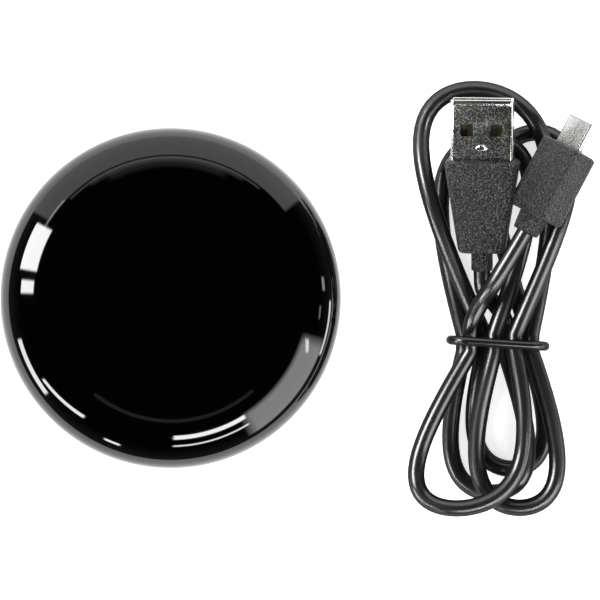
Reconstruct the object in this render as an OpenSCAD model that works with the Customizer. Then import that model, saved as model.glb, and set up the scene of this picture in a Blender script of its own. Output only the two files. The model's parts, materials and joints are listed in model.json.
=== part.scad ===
// Infrared remote-control hub: a low round housing that fires coded infrared light
// through its smooth black dome, with a wound and tied USB power cable beside it.
// Millimetres, +Z up. The origin is the centre of the rubber foot's underside and
// +Y points to the rear, where the power socket is.

/* [Housing] */
// Outer diameter of the housing
body_d = 66; // [60:0.5:76]
// Height of the parting plane between the two covers
split_h = 10.5; // [10.2:0.1:12]
// Height of the dome above the parting plane
dome_h = 10.5; // [10:0.1:14]
// Roundness of the dome's profile, 2 is a plain ellipse
dome_power = 3; // [2.6:0.1:3.4]
// Roundness of the lower cover's profile
base_power = 2.2; // [2:0.1:2.6]
// Diameter at which the lower cover turns flat
base_flat_d = 48; // [46:0.5:52]
// Height of the lower cover's flat underside above the table
base_gap = 0.9; // [0.6:0.1:1.2]
// Wall thickness of both covers
wall = 1.8; // [1.6:0.1:2]
// Height of the lap joint between the covers
lap_h = 1.1; // [0.8:0.1:1.2]
// Play in the lap joint
lap_gap = 0.08; // [0.05:0.01:0.12]

/* [Foot] */
// Diameter of the rubber foot disc
foot_d = 46; // [44:0.5:46]
// Depth of the recess that the foot disc is glued into
foot_recess = 0.5; // [0.4:0.1:0.6]
// Edge rounding of the foot disc
foot_edge = 0.5; // [0.3:0.1:0.6]
// Play round the foot disc
foot_gap = 0.15; // [0.1:0.05:0.3]

/* [Fixings] */
// Radius on which the three screws stand
screw_ring_r = 20.5; // [20:0.1:21]
// Core diameter of a self-tapping screw
screw_d = 2; // [1.8:0.1:2.2]
// Length of a screw under its head
screw_l = 8; // [7:0.5:9]
// Diameter of a screw head
screw_head_d = 4; // [3.6:0.1:4.2]
// Height of a screw head
screw_head_h = 1.4; // [1.2:0.1:1.6]
// Width of the cross recess's arms
recess_w = 0.6; // [0.5:0.05:0.7]
// Depth of the cross recess
recess_h = 0.8; // [0.6:0.1:0.9]
// Diameter of a hanging screw post
post_d = 5.4; // [5:0.1:5.6]
// Diameter of a lower screw seat
seat_d = 6.4; // [6:0.1:6.6]
// Play of a screw in its seat's hole
screw_play = 0.3; // [0.2:0.05:0.4]

/* [Circuit board] */
// Distance from the main circuit board's edge to the housing's inner face
board_inset = 5.7; // [5.2:0.1:6.2]
// Thickness of the main circuit board
board_t = 1.6; // [1.4:0.1:1.6]
// Height of the board's underside above the table
board_z = 5.2; // [5:0.1:5.4]
// Width of the board's tab under the power socket
tab_w = 11; // [9:0.5:12]
// Distance from the end of the board's tab to the socket's mouth
tab_inset = 3.2; // [3:0.1:3.6]
// Diameter of the board's holes round the posts
post_hole_d = 6.4; // [6.2:0.1:6.6]
// Diameter of the three pillars that carry the board
pillar_d = 5; // [4:0.1:6]
// Diameter of the pillars' locating pins
locator_d = 1.6; // [1.4:0.1:1.8]
// Play of a locating pin in the board
locator_gap = 0.1; // [0.05:0.01:0.15]

/* [Infrared emitters] */
// Diameter of an emitter's clear body
led_d = 5; // [4.8:0.1:5.2]
// Length of an emitter from its flange to its tip
led_l = 8.6; // [8:0.1:8.8]
// Diameter of an emitter's flange
led_flange_d = 5.8; // [5.6:0.1:6]
// Thickness of an emitter's flange
led_flange_t = 1; // [0.8:0.1:1.2]
// Distance from the back of a ring emitter to the housing's inner face
led_inset = 11.8; // [11.6:0.1:12.2]
// Height of the ring emitters' axes
led_z = 13; // [12.8:0.1:13.2]
// Spacing of an emitter's two leads
lead_pitch = 2.54; // [2.4:0.01:2.6]
// Thickness of a lead
lead_t = 0.5; // [0.4:0.05:0.6]
// Distance from an emitter's back to the bend of its leads
lead_bend = 1.4; // [1.2:0.1:1.6]
// Clearance between the upright emitter's tip and the dome
top_led_clear = 0.4; // [0.2:0.1:0.6]
// Thickness of the saddles that steady the ring emitters
saddle_t = 1.2; // [1:0.1:1.4]
// Width of the saddles
saddle_w = 8; // [7.5:0.1:8.5]
// Distance from an emitter's back to its saddle
saddle_set = 4; // [3.6:0.1:4.6]
// Play between an emitter and its saddle
saddle_gap = 0.1; // [0.05:0.01:0.15]

/* [Receiver and status light] */
// Width of the infrared receiver
receiver_w = 5.8; // [5.4:0.1:6]
// Depth of the infrared receiver
receiver_t = 3; // [2.8:0.1:3.4]
// Height of the infrared receiver's body
receiver_h = 6.4; // [6:0.1:6.8]
// Radius of the receiver's bulging lens
receiver_lens_r = 2.2; // [2:0.1:2.4]
// Distance from the receiver's back to the board's edge
receiver_inset = 4; // [3.5:0.1:4.5]
// Direction of the receiver as seen from above, in degrees from the right-hand side
receiver_angle = -30; // [-40:1:-25]
// Height of the receiver's body above the board
receiver_gap = 1; // [0.8:0.1:1.2]
// Diameter of the status light's light pipe
pipe_d = 2.6; // [2.4:0.1:2.8]
// Diameter of the light pipe's shoulder
pipe_shoulder_d = 3.8; // [3.6:0.1:4]
// Height of the light pipe's shoulder
pipe_shoulder_h = 0.8; // [0.6:0.1:1]
// Clearance between the light pipe's collar and the screw post behind it
pipe_clear = 0.6; // [0.6:0.1:1.1]
// Gap between the status light and its pipe
pipe_gap = 0.3; // [0.25:0.05:0.4]
// Wall of the collar that holds the light pipe
collar_wall = 0.9; // [0.8:0.1:1]
// Length of the light pipe inside its collar
collar_l = 5; // [4.5:0.1:5.2]
// Thickness of dome left above the light pipe
pipe_skin = 0.8; // [0.6:0.1:1]
// Length of the status light
chip_l = 1.6; // [1.4:0.1:1.8]
// Width of the status light
chip_w = 0.8; // [0.7:0.1:0.9]
// Height of the status light
chip_h = 0.6; // [0.5:0.05:0.7]

/* [Radio and power parts] */
// Width of the radio module
radio_w = 14; // [13:0.5:14]
// Length of the radio module
radio_l = 20; // [18:0.5:20]
// Thickness of the radio module's board
radio_t = 0.8; // [0.6:0.1:1]
// Distance of the radio module to the left of the centre
radio_x = 8.5; // [8.4:0.1:8.8]
// Clearance between the radio module's rear edge and the screw post behind it
radio_clear = 0.55; // [0.35:0.05:0.75]
// Width of the radio's metal can
can_w = 11; // [10:0.5:12]
// Length of the radio's metal can
can_l = 12; // [11:0.5:13]
// Height of the radio's metal can
can_h = 2.2; // [1.8:0.1:2.4]
// Distance of the can from the module's plain end
can_inset = 1.2; // [1:0.1:1.5]
// Length of the voltage regulator
regulator_l = 6.5; // [6.3:0.1:6.7]
// Width of the voltage regulator
regulator_w = 3.5; // [3.3:0.1:3.7]
// Height of the voltage regulator
regulator_h = 1.6; // [1.4:0.1:1.8]
// Distance of the regulator to the right of the centre
regulator_x = 8; // [7:0.5:9]
// Distance of the regulator to the front of the centre
regulator_y = 9; // [8.5:0.5:9.5]
// Diameter of the storage capacitor
capacitor_d = 5; // [4:0.1:6]
// Height of the storage capacitor
capacitor_h = 5.4; // [5:0.1:5.8]
// Distance of the capacitor to the right of the centre
capacitor_x = 12; // [11:0.5:13]
// Distance of the capacitor to the front of the centre
capacitor_y = 1; // [0.5:0.5:1.5]
// Length of a driver transistor
transistor_l = 2.9; // [2.8:0.1:3.1]
// Width of a driver transistor
transistor_w = 1.3; // [1.2:0.1:1.4]
// Height of a driver transistor
transistor_h = 1.1; // [0.9:0.1:1.2]
// Distance of the first transistor to the right of the centre
driver_1_x = 7; // [6:0.5:8]
// Distance of the first transistor to the rear of the centre
driver_1_y = 9; // [8:0.5:10]
// Distance of the second transistor to the right of the centre
driver_2_x = 1; // [0.5:0.5:2]
// Distance of the second transistor to the rear of the centre
driver_2_y = 12; // [11:0.5:13]

/* [Power socket] */
// Outer width of the micro-USB socket
socket_w = 7.5; // [7.4:0.1:7.6]
// Outer height of the micro-USB socket
socket_h = 2.5; // [2.45:0.05:2.6]
// Depth of the micro-USB socket
socket_l = 5.6; // [5.4:0.1:5.8]
// Sheet thickness of the socket
socket_t = 0.25; // [0.2:0.05:0.3]
// Distance of the socket's mouth inside the housing's outline
socket_inset = 1.6; // [1.5:0.1:1.8]
// Play between the socket and the housing's opening
socket_gap = 0.3; // [0.25:0.05:0.35]
// Width of the socket's inner tongue
socket_tongue_w = 3.8; // [3.6:0.1:4]
// Thickness of the socket's inner tongue
socket_tongue_t = 0.6; // [0.5:0.05:0.65]

/* [Reset button] */
// Direction of the button as seen from above, in degrees from the right-hand side
button_angle = 116; // [114:1:120]
// Height of the button's axis above the board
button_lift = 1; // [0.9:0.1:1.1]
// Diameter of the button's cap
button_d = 3.2; // [3:0.1:3.4]
// Diameter of the flange that keeps the button in
button_flange_d = 4.8; // [4.6:0.1:5]
// Thickness of the flange
button_flange_t = 0.8; // [0.6:0.1:1]
// Distance from the flange's outer face to the housing's inner face
flange_inset = 1; // [0.9:0.1:1.2]
// Depth of the cap's end inside the housing's outline
button_sink = 0.1; // [0.05:0.05:0.2]
// Play round the button
button_gap = 0.1; // [0.08:0.01:0.15]
// Travel of the button
button_travel = 0.3; // [0.25:0.05:0.35]
// Diameter of the button's stem
button_stem_d = 2.2; // [2:0.1:2.4]
// Depth of the reset switch
switch_l = 3.6; // [3.4:0.1:3.8]
// Width of the reset switch
switch_w = 4.5; // [4.3:0.1:4.7]
// Height of the reset switch
switch_h = 2.4; // [2.2:0.1:2.6]
// Distance from the switch's front to the board's edge
switch_inset = 0.9; // [0.7:0.1:1.1]
// Diameter of the switch's plunger
plunger_d = 1.2; // [1:0.1:1.3]
// Length of the plunger outside the switch
plunger_out = 1.4; // [1.2:0.1:1.6]
// Length of the plunger inside the switch at rest
plunger_in = 0.8; // [0.6:0.1:1]

/* [USB-A plug] */
// Width of the USB-A plug's metal shell
shell_w = 12; // [11.9:0.05:12.1]
// Height of the USB-A plug's metal shell
shell_h = 4.5; // [4.4:0.05:4.6]
// Length of the shell outside its grip
shell_l = 11.9; // [11.5:0.1:12.2]
// Sheet thickness of the shell
shell_t = 0.3; // [0.25:0.05:0.35]
// Side of the shell's square windows
window_s = 2.4; // [2.2:0.1:2.6]
// Spacing of the windows' centres
window_pitch = 5.7; // [5.5:0.1:6]
// Distance from the grip to the windows' centres
window_y = 6; // [5.6:0.1:6.2]
// Thickness of the contact tongue
tongue_t = 1.9; // [1.8:0.1:2]
// Width of the contact tongue
tongue_w = 11; // [10.8:0.1:11.2]
// Distance of the contact tongue behind the mouth
tongue_set = 0.6; // [0.5:0.1:0.8]
// Length of the block behind the contact tongue
tongue_back_l = 2; // [1.8:0.1:2.4]
// Width of the two inner contacts
contact_w = 1; // [0.9:0.1:1.1]
// Thickness of a contact
contact_t = 0.2; // [0.15:0.05:0.25]
// Distance from the end of a contact to the end of its tongue
contact_set = 1; // [0.8:0.1:1.2]
// Spacing of the two inner contacts
contact_pitch = 2; // [1.9:0.1:2.1]
// Spacing of the two outer contacts
contact_span = 7; // [6.9:0.1:7.1]
// Where the shell leaves the grip, to the right of the housing's centre
usb_a_x = 60.3; // [60:0.1:60.6]
// The same place, to the rear of the housing's centre
usb_a_y = 26.7; // [26.4:0.1:27]
// Height of that place above the table
usb_a_z = 11.6; // [11.5:0.1:11.9]
// Rise of the plug to its mouth, in degrees
usb_a_pitch = 8; // [7:0.5:9]
// Lean of the plug to its side, in degrees
usb_a_roll = 6; // [5:0.5:7]
// Width of the grip beside the shell
grip_w = 14.6; // [14:0.1:15]
// Height of the grip beside the shell
grip_h = 7.6; // [7.4:0.1:8]
// Width of the grip at the cable
grip_tail_w = 8.9; // [8.5:0.1:9.5]
// Height of the grip at the cable
grip_tail_h = 6.4; // [6:0.1:6.6]
// Length of the grip
grip_l = 17.95; // [17:0.05:19]
// Corner radius of the grip
grip_r = 1.6; // [1.2:0.1:2]
// Diameter of the cable sleeve behind the grip
sleeve_d = 4.2; // [4:0.1:4.6]
// Length of the cable sleeve
sleeve_l = 3.6; // [3:0.1:4]

/* [Micro-USB plug] */
// Width of the micro-USB plug's tip
tip_w = 6.85; // [6.8:0.05:6.9]
// Height of the micro-USB plug's tip
tip_h = 1.8; // [1.75:0.05:1.85]
// Length of the tip outside its grip
tip_l = 5.8; // [5.6:0.1:6]
// Sheet thickness of the tip
tip_t = 0.25; // [0.2:0.05:0.3]
// Slant of the tip's lower corners
tip_slant = 0.6; // [0.5:0.1:0.7]
// Width of a spring latch
latch_w = 0.7; // [0.6:0.1:0.8]
// Length of a spring latch
latch_l = 1.6; // [1.4:0.1:1.8]
// Spacing of the two spring latches
latch_pitch = 4; // [3.8:0.1:4.2]
// Height that a latch stands above the tip
latch_up = 0.2; // [0.15:0.05:0.3]
// Where the tip leaves the grip, to the right of the housing's centre
micro_x = 77.15; // [77:0.05:77.3]
// The same place, to the rear of the housing's centre
micro_y = 29.05; // [28.9:0.05:29.2]
// Height of that place above the table
micro_z = 14.4; // [14.4:0.1:14.8]
// Turn of the plug to the right, in degrees
micro_yaw = 28; // [27:0.5:29]
// Lean of the plug to its side, in degrees
micro_roll = 47; // [45:0.5:49]
// Width of the micro-USB plug's grip
micro_w = 10.6; // [10:0.1:11]
// Height of the micro-USB plug's grip
micro_h = 6.6; // [6.2:0.1:7]
// Length of the grip
micro_l = 14.8; // [14:0.1:15.5]
// Corner radius of the grip
micro_r = 2.3; // [2:0.1:2.6]
// Width of the grip's neck beside the grip
neck_d = 5.3; // [5:0.1:5.6]
// Width of the neck at the cable
neck_end_d = 4.6; // [4.2:0.1:5]
// Length of the neck
neck_l = 3.7; // [3.5:0.1:4]

/* [Cable and tie] */
// Diameter of the cable
cable_d = 3.3; // [3.1:0.05:3.4]
// Thickness of the tie
tie_d = 1.8; // [1.6:0.05:1.85]
// Outer width of the tie across the strands
tie_w = 20; // [20:0.1:21]
// Outer height of the tie round the strands
tie_h = 13.6; // [13.4:0.1:14]
// Radius of the tie's corners along its centreline
tie_corner = 3; // [2.5:0.1:4]
// Slope of the tie across the strands, in degrees
tie_slope = 3.8; // [3:0.1:4.5]

/* [Hidden] */

// overrun of a cut past the face it opens
over = 0.02;
// faces of large, medium and small round forms
round_big = 72;
round_mid = 32;
round_small = 20;
// points along a quarter of a revolved profile
profile_steps = 14;
// sides of the wound cable and of its free ends
hank_sides = 6;
free_sides = 8;
// steps between two points of a free end's route
free_steps = 3;

body_r = body_d / 2;
flat_r = base_flat_d / 2;
inner_r = body_r - wall;
lap_r = body_r - wall / 2;
board_top = board_z + board_t;
screw_angles = [30, 150, 270];
pillar_angles = [90, 210, 330];
// emitters in the ring, one node each
led_count = 6;
post_foot_z = base_gap + foot_recess + wall + screw_head_h;
seat_floor = base_gap + foot_recess + screw_head_h;
board_r = inner_r - board_inset;
board_d = 2 * board_r;
led_back_r = inner_r - led_inset;
saddle_r = led_back_r + saddle_set;
receiver_r = board_r - receiver_inset;
switch_front_r = board_r - switch_inset;
button_flange_r = inner_r - flange_inset;
button_end_r = body_r - button_sink;
socket_y = body_r - socket_inset;
tab_y = socket_y - tab_inset;
// distance from the centre to the light pipe, in front of the foremost screw post
pipe_r = screw_ring_r - post_d / 2 - pipe_clear - collar_wall - pipe_d / 2;
// rear edge of the radio module, in front of the screw post on its side
radio_rear = screw_ring_r * sin(screw_angles[0]) - post_d / 2 - radio_clear;
screw_hole_d = screw_d - screw_d / 10;

// height of the dome's inner face at a distance from the centre
function ceiling(r) =
    split_h + (dome_h - wall) * pow(1 - pow(r / inner_r, dome_power), 1 / dome_power);

// height of the upright emitter's back above the board
top_led_gap = ceiling(0) - top_led_clear - led_l - board_top;

// quarter of a superellipse from its rim to its crown
function arch(rx, ry, power) =
    [for (i = [0 : profile_steps])
        let (a = 90 * i / profile_steps)
        [rx * pow(cos(a), 2 / power), ry * pow(sin(a), 2 / power)]];

// dome of a given radius and height standing on the parting plane
module dome(r, h) {
    translate([0, 0, split_h])
        rotate_extrude($fn = round_big)
            polygon(concat([[0, 0]], arch(r, h, dome_power)));
}

// bowl below the parting plane, from a rim radius down to a flat floor
module bowl(r, floor_z) {
    curve = [for (p = arch(r - flat_r, split_h - floor_z, base_power)) [flat_r + p[0], split_h - p[1]]];
    rotate_extrude($fn = round_big)
        polygon(concat([[0, split_h]], curve, [[0, floor_z]]));
}

module ring(outer_r, inner_r, low, high) {
    translate([0, 0, low])
        difference() {
            cylinder(r = outer_r, h = high - low, $fn = round_big);
            translate([0, 0, -over])
                cylinder(r = inner_r, h = high - low + 2 * over, $fn = round_big);
        }
}

// places its children on a circle in the given directions
module around(radius, angles) {
    for (a = angles)
        rotate([0, 0, a])
            translate([radius, 0, 0])
                children();
}

// bar centred across X and Z with its back face at y = 0
module slab(w, l, h) {
    translate([-w / 2, 0, -h / 2])
        cube([w, l, h]);
}

// opening for the power socket, cut through both covers
module socket_opening() {
    translate([0, socket_y - socket_l, board_top + socket_h / 2])
        slab(socket_w + 2 * socket_gap, socket_l + wall, socket_h + 2 * socket_gap);
}

// bore for the reset button and pocket for its flange, cut through both covers
module button_opening() {
    rotate([0, 0, button_angle])
        translate([0, 0, board_top + button_lift])
            rotate([0, 90, 0]) {
                cylinder(d = button_d + 2 * button_gap, h = body_r + wall, $fn = round_mid);
                cylinder(d = button_flange_d + 2 * button_gap, h = button_flange_r, $fn = round_mid);
            }
}

module saddle() {
    difference() {
        translate([0, -saddle_w / 2, led_z])
            cube([saddle_t, saddle_w, ceiling(saddle_r + saddle_t) - led_z + over]);
        translate([-over, 0, led_z])
            rotate([0, 90, 0])
                cylinder(d = led_d + 2 * saddle_gap, h = saddle_t + 2 * over, $fn = round_mid);
    }
}

module top_shell() {
    difference() {
        union() {
            difference() {
                dome(body_r, dome_h);
                dome(inner_r, dome_h - wall);
            }
            ring(lap_r - lap_gap, inner_r, split_h - lap_h, split_h + over);
            around(screw_ring_r, screw_angles)
                translate([0, 0, post_foot_z])
                    cylinder(d = post_d, h = ceiling(screw_ring_r) - post_foot_z + over, $fn = round_mid);
            intersection() {
                dome(body_r - over, dome_h - over);
                around(saddle_r, [for (i = [0 : led_count - 1]) 360 * i / led_count])
                    saddle();
            }
            translate([0, -pipe_r, ceiling(pipe_r) - collar_l])
                cylinder(d = pipe_d + 2 * collar_wall, h = collar_l + over, $fn = round_mid);
        }
        around(screw_ring_r, screw_angles)
            translate([0, 0, post_foot_z - over])
                cylinder(d = screw_hole_d, h = screw_l, $fn = round_small);
        translate([0, -pipe_r, ceiling(pipe_r) - collar_l - over])
            cylinder(d = pipe_d, h = collar_l + wall - pipe_skin + over, $fn = round_small);
        socket_opening();
        button_opening();
    }
}

module bottom_cover() {
    difference() {
        union() {
            difference() {
                bowl(body_r, base_gap);
                bowl(inner_r, base_gap + foot_recess + wall);
                ring(lap_r, 0, split_h - lap_h, split_h + over);
            }
            around(screw_ring_r, screw_angles)
                translate([0, 0, base_gap + foot_recess])
                    cylinder(d = seat_d, h = post_foot_z - base_gap - foot_recess, $fn = round_mid);
            around(screw_ring_r, pillar_angles)
                translate([0, 0, base_gap + foot_recess]) {
                    cylinder(d = pillar_d, h = board_z - base_gap - foot_recess, $fn = round_mid);
                    cylinder(d = locator_d, h = board_top - base_gap - foot_recess, $fn = round_small);
                }
        }
        translate([0, 0, base_gap - over])
            cylinder(d = foot_d + 2 * foot_gap, h = foot_recess + over, $fn = round_big);
        around(screw_ring_r, screw_angles)
            translate([0, 0, base_gap]) {
                cylinder(d = screw_d + 2 * screw_play, h = post_foot_z, $fn = round_small);
                cylinder(d = screw_head_d + 2 * screw_play, h = foot_recess + screw_head_h, $fn = round_mid);
            }
        socket_opening();
        button_opening();
    }
}

module foot_pad() {
    pad_h = base_gap + foot_recess;
    rotate_extrude($fn = round_big)
        polygon([[0, 0], [foot_d / 2 - foot_edge, 0], [foot_d / 2, foot_edge], [foot_d / 2, pad_h], [0, pad_h]]);
}

module case_screw() {
    difference() {
        union() {
            cylinder(d = screw_head_d, h = screw_head_h, $fn = round_mid);
            cylinder(d = screw_hole_d, h = screw_head_h + screw_l, $fn = round_small);
        }
        for (a = [0, 90])
            rotate([0, 0, a])
                translate([-screw_d / 2, -recess_w / 2, -over])
                    cube([screw_d, recess_w, recess_h + over]);
    }
}

module case_screws() {
    around(screw_ring_r, screw_angles)
        translate([0, 0, seat_floor - screw_head_h])
            case_screw();
}

module main_pcb() {
    difference() {
        translate([0, 0, board_z])
            union() {
                cylinder(d = board_d, h = board_t, $fn = round_big);
                translate([-tab_w / 2, 0, 0])
                    cube([tab_w, tab_y, board_t]);
            }
        around(screw_ring_r, screw_angles)
            translate([0, 0, board_z - over])
                cylinder(d = post_hole_d, h = board_t + 2 * over, $fn = round_mid);
        around(screw_ring_r, pillar_angles)
            translate([0, 0, board_z - over])
                cylinder(d = locator_d + 2 * locator_gap, h = board_t + 2 * over, $fn = round_small);
    }
}

module wifi_module() {
    translate([-radio_x - radio_w / 2, radio_rear - radio_l, board_top])
        cube([radio_w, radio_l, radio_t]);
}

module wifi_shield() {
    translate([-radio_x - can_w / 2, radio_rear - radio_l + can_inset, board_top + radio_t])
        cube([can_w, can_l, can_h]);
}

// emitter with its back at the origin, looking along +Z, and its leads behind it
module emitter(drop, bend) {
    tip_r = led_d / 2;
    rotate_extrude($fn = round_mid)
        polygon(concat(
            [[0, 0], [led_flange_d / 2, 0], [led_flange_d / 2, led_flange_t], [tip_r, led_flange_t]],
            [for (a = [0 : 15 : 90]) [tip_r * cos(a), led_l - tip_r + tip_r * sin(a)]]));
    for (side = [-1, 1])
        translate([side * lead_pitch / 2 - lead_t / 2, 0, 0]) {
            translate([0, -lead_t / 2, -bend])
                cube([lead_t, lead_t, bend + over]);
            translate([0, -drop, -bend])
                cube([lead_t, drop, lead_t]);
        }
}

module ring_emitter(i) {
    rotate([0, 0, 360 * (i - 1) / led_count])
        translate([led_back_r, 0, led_z])
            rotate([90, 0, 90])
                emitter(led_z - board_top, lead_bend);
}

module ir_led_1() { ring_emitter(1); }
module ir_led_2() { ring_emitter(2); }
module ir_led_3() { ring_emitter(3); }
module ir_led_4() { ring_emitter(4); }
module ir_led_5() { ring_emitter(5); }
module ir_led_6() { ring_emitter(6); }

module ir_led_top() {
    translate([0, 0, board_top + top_led_gap])
        rotate([0, 0, 90])
            emitter(lead_t / 2, top_led_gap);
}

module ir_receiver() {
    rotate([0, 0, receiver_angle])
        translate([receiver_r, 0, board_top]) {
            translate([0, -receiver_w / 2, receiver_gap])
                cube([receiver_t, receiver_w, receiver_h]);
            translate([receiver_t - receiver_lens_r / 2, 0, receiver_gap + receiver_h - receiver_lens_r - receiver_gap])
                sphere(r = receiver_lens_r, $fn = round_small);
            for (side = [-1, 0, 1])
                translate([receiver_t / 2, side * lead_pitch - lead_t / 2, 0])
                    cube([lead_t, lead_t, receiver_gap + over]);
        }
}

module status_led() {
    translate([-chip_l / 2, -pipe_r - chip_w / 2, board_top])
        cube([chip_l, chip_w, chip_h]);
}

module light_pipe() {
    low = board_top + chip_h + pipe_gap;
    seat = ceiling(pipe_r) - collar_l;
    translate([0, -pipe_r, 0]) {
        translate([0, 0, low])
            cylinder(d = pipe_d, h = seat + collar_l + wall - pipe_skin - low, $fn = round_small);
        translate([0, 0, seat - pipe_shoulder_h])
            cylinder(d = pipe_shoulder_d, h = pipe_shoulder_h, $fn = round_mid);
    }
}

module usb_receptacle_shell() {
    translate([0, socket_y - socket_l, board_top + socket_h / 2])
        difference() {
            slab(socket_w, socket_l, socket_h);
            translate([0, socket_t, 0])
                slab(socket_w - 2 * socket_t, socket_l, socket_h - 2 * socket_t);
        }
}

module usb_receptacle_tongue() {
    translate([0, socket_y - socket_l + socket_t, board_top + socket_h / 2])
        union() {
            slab(socket_w - 2 * socket_t, socket_t, socket_h - 2 * socket_t);
            slab(socket_tongue_w, socket_l - 3 * socket_t, socket_tongue_t);
        }
}

module reset_switch() {
    rotate([0, 0, button_angle])
        difference() {
            translate([switch_front_r - switch_l, -switch_w / 2, board_top])
                cube([switch_l, switch_w, switch_h]);
            translate([switch_front_r - plunger_in - button_travel - button_gap, 0, board_top + button_lift])
                rotate([0, 90, 0])
                    cylinder(d = plunger_d + 2 * button_gap, h = switch_l, $fn = round_small);
        }
}

module switch_plunger() {
    rotate([0, 0, button_angle])
        translate([switch_front_r - plunger_in, 0, board_top + button_lift])
            rotate([0, 90, 0])
                cylinder(d = plunger_d, h = plunger_in + plunger_out, $fn = round_small);
}

module reset_button() {
    stem_r = switch_front_r + plunger_out;
    rotate([0, 0, button_angle])
        translate([0, 0, board_top + button_lift])
            rotate([0, 90, 0]) {
                translate([0, 0, stem_r])
                    cylinder(d = button_stem_d, h = button_flange_r - stem_r, $fn = round_mid);
                translate([0, 0, button_flange_r - button_flange_t])
                    cylinder(d = button_flange_d, h = button_flange_t, $fn = round_mid);
                translate([0, 0, button_flange_r - over])
                    cylinder(d = button_d, h = button_end_r - button_flange_r + over, $fn = round_mid);
            }
}

module regulator() {
    translate([regulator_x, -regulator_y, board_top])
        cube([regulator_l, regulator_w, regulator_h]);
}

module capacitor() {
    translate([capacitor_x, -capacitor_y, board_top])
        cylinder(d = capacitor_d, h = capacitor_h, $fn = round_mid);
}

module driver_transistor() {
    translate([-transistor_l / 2, -transistor_w / 2, board_top])
        cube([transistor_l, transistor_w, transistor_h]);
}

module driver_transistor_1() {
    translate([driver_1_x, driver_1_y, 0])
        driver_transistor();
}

module driver_transistor_2() {
    translate([driver_2_x, driver_2_y, 0])
        driver_transistor();
}

// places the USB-A plug: its origin is where the shell leaves the grip, +Y to the mouth
module at_usb_a() {
    translate([usb_a_x, usb_a_y, usb_a_z])
        rotate([usb_a_pitch, 0, 0])
            rotate([0, -usb_a_roll, 0])
                children();
}

// rounded upright plate, thin along Y, for the ends of a moulded grip
module grip_end(w, h, r) {
    translate([0, over, 0])
        rotate([90, 0, 0])
            linear_extrude(over)
                rounded(w, h, r);
}

module rounded(w, h, r) {
    union() {
        square([w - 2 * r, h], center = true);
        square([w, h - 2 * r], center = true);
        for (x = [-1, 1], y = [-1, 1])
            translate([x * (w / 2 - r), y * (h / 2 - r)])
                circle(r = r, $fn = round_mid);
    }
}

module usb_a_shell() {
    inside_h = shell_h - 2 * shell_t;
    at_usb_a()
        difference() {
            translate([0, shell_l, 0])
                rotate([90, 0, 0])
                    linear_extrude(shell_l)
                        difference() {
                            rounded(shell_w, shell_h, shell_t * 2);
                            rounded(shell_w - 2 * shell_t, inside_h, shell_t);
                        }
            for (side = [-1, 1])
                translate([side * window_pitch / 2 - window_s / 2, window_y - window_s / 2, -shell_h])
                    cube([window_s, window_s, 2 * shell_h]);
        }
}

module usb_a_tongue() {
    inside_h = shell_h - 2 * shell_t;
    at_usb_a()
        union() {
            translate([0, 0, -inside_h / 2 + tongue_t / 2])
                slab(tongue_w, shell_l - tongue_set, tongue_t);
            slab(shell_w - 4 * shell_t, tongue_back_l, inside_h);
        }
}

module usb_a_contacts() {
    inside_h = shell_h - 2 * shell_t;
    at_usb_a()
        for (x = [-contact_span / 2, -contact_pitch / 2, contact_pitch / 2, contact_span / 2])
            translate([x, tongue_back_l, -inside_h / 2 + tongue_t + contact_t / 2])
                slab(contact_w, shell_l - tongue_set - contact_set - tongue_back_l, contact_t);
}

module usb_a_overmould() {
    at_usb_a()
        hull() {
            translate([0, -over, 0])
                grip_end(grip_w, grip_h, grip_r);
            translate([0, -grip_l, 0])
                grip_end(grip_tail_w, grip_tail_h, grip_r);
        }
}

module usb_a_relief() {
    at_usb_a()
        translate([0, -grip_l, 0])
            rotate([90, 0, 0])
                cylinder(d = sleeve_d, h = sleeve_l, $fn = round_mid);
}

// places the micro-USB plug in the same way, lying aslant over the loops
module at_micro() {
    translate([micro_x, micro_y, micro_z])
        rotate([0, 0, -micro_yaw])
            rotate([0, -micro_roll, 0])
                children();
}

// outline of the tip, with its slanted lower corners
module tip_outline(w, h) {
    polygon([[-w / 2, h / 2], [w / 2, h / 2], [w / 2, 0], [w / 2 - tip_slant, -h / 2],
             [-w / 2 + tip_slant, -h / 2], [-w / 2, 0]]);
}

module micro_plug_shell() {
    at_micro()
        translate([0, tip_l, 0])
            rotate([90, 0, 0])
                linear_extrude(tip_l)
                    difference() {
                        tip_outline(tip_w, tip_h);
                        tip_outline(tip_w - 2 * tip_t, tip_h - 2 * tip_t);
                    }
}

module micro_plug_latches() {
    at_micro()
        for (side = [-1, 1])
            translate([side * latch_pitch / 2, tip_l / 2, -tip_h / 2 - latch_up / 2])
                slab(latch_w, latch_l, latch_up);
}

module micro_plug_tongue() {
    at_micro()
        translate([0, 0, tip_h / 2 - tip_t - socket_tongue_t / 2])
            slab(tip_w - 4 * tip_t, tip_l - tongue_set, socket_tongue_t);
}

module micro_plug_overmould() {
    at_micro()
        rotate([90, 0, 0])
            linear_extrude(micro_l)
                rounded(micro_w, micro_h, micro_r);
}

module micro_plug_relief() {
    at_micro()
        translate([0, -micro_l, 0])
            rotate([90, 0, 0])
                cylinder(d1 = neck_d, d2 = neck_end_d, h = neck_l, $fn = round_mid);
}

// Wound cable. Every lobe is half a loop that leaves the tied waist and comes back to it.
waist_x = 63.4;
waist_y = -8.7;
waist_pitch = 3.8;
// half of the straight run that every strand makes under the tie
straight_run = 1.7;
// rise of one layer of strands over another
layer = 3.75;
// clear height under the lowest strand away from the waist
rest_gap = 0.05;
// fullness share of a lobe's end
full_share = 0.03;
// how quickly the strands sink from the waist to the table
sink_power = 8;
steps_a_lobe = 11;
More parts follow.
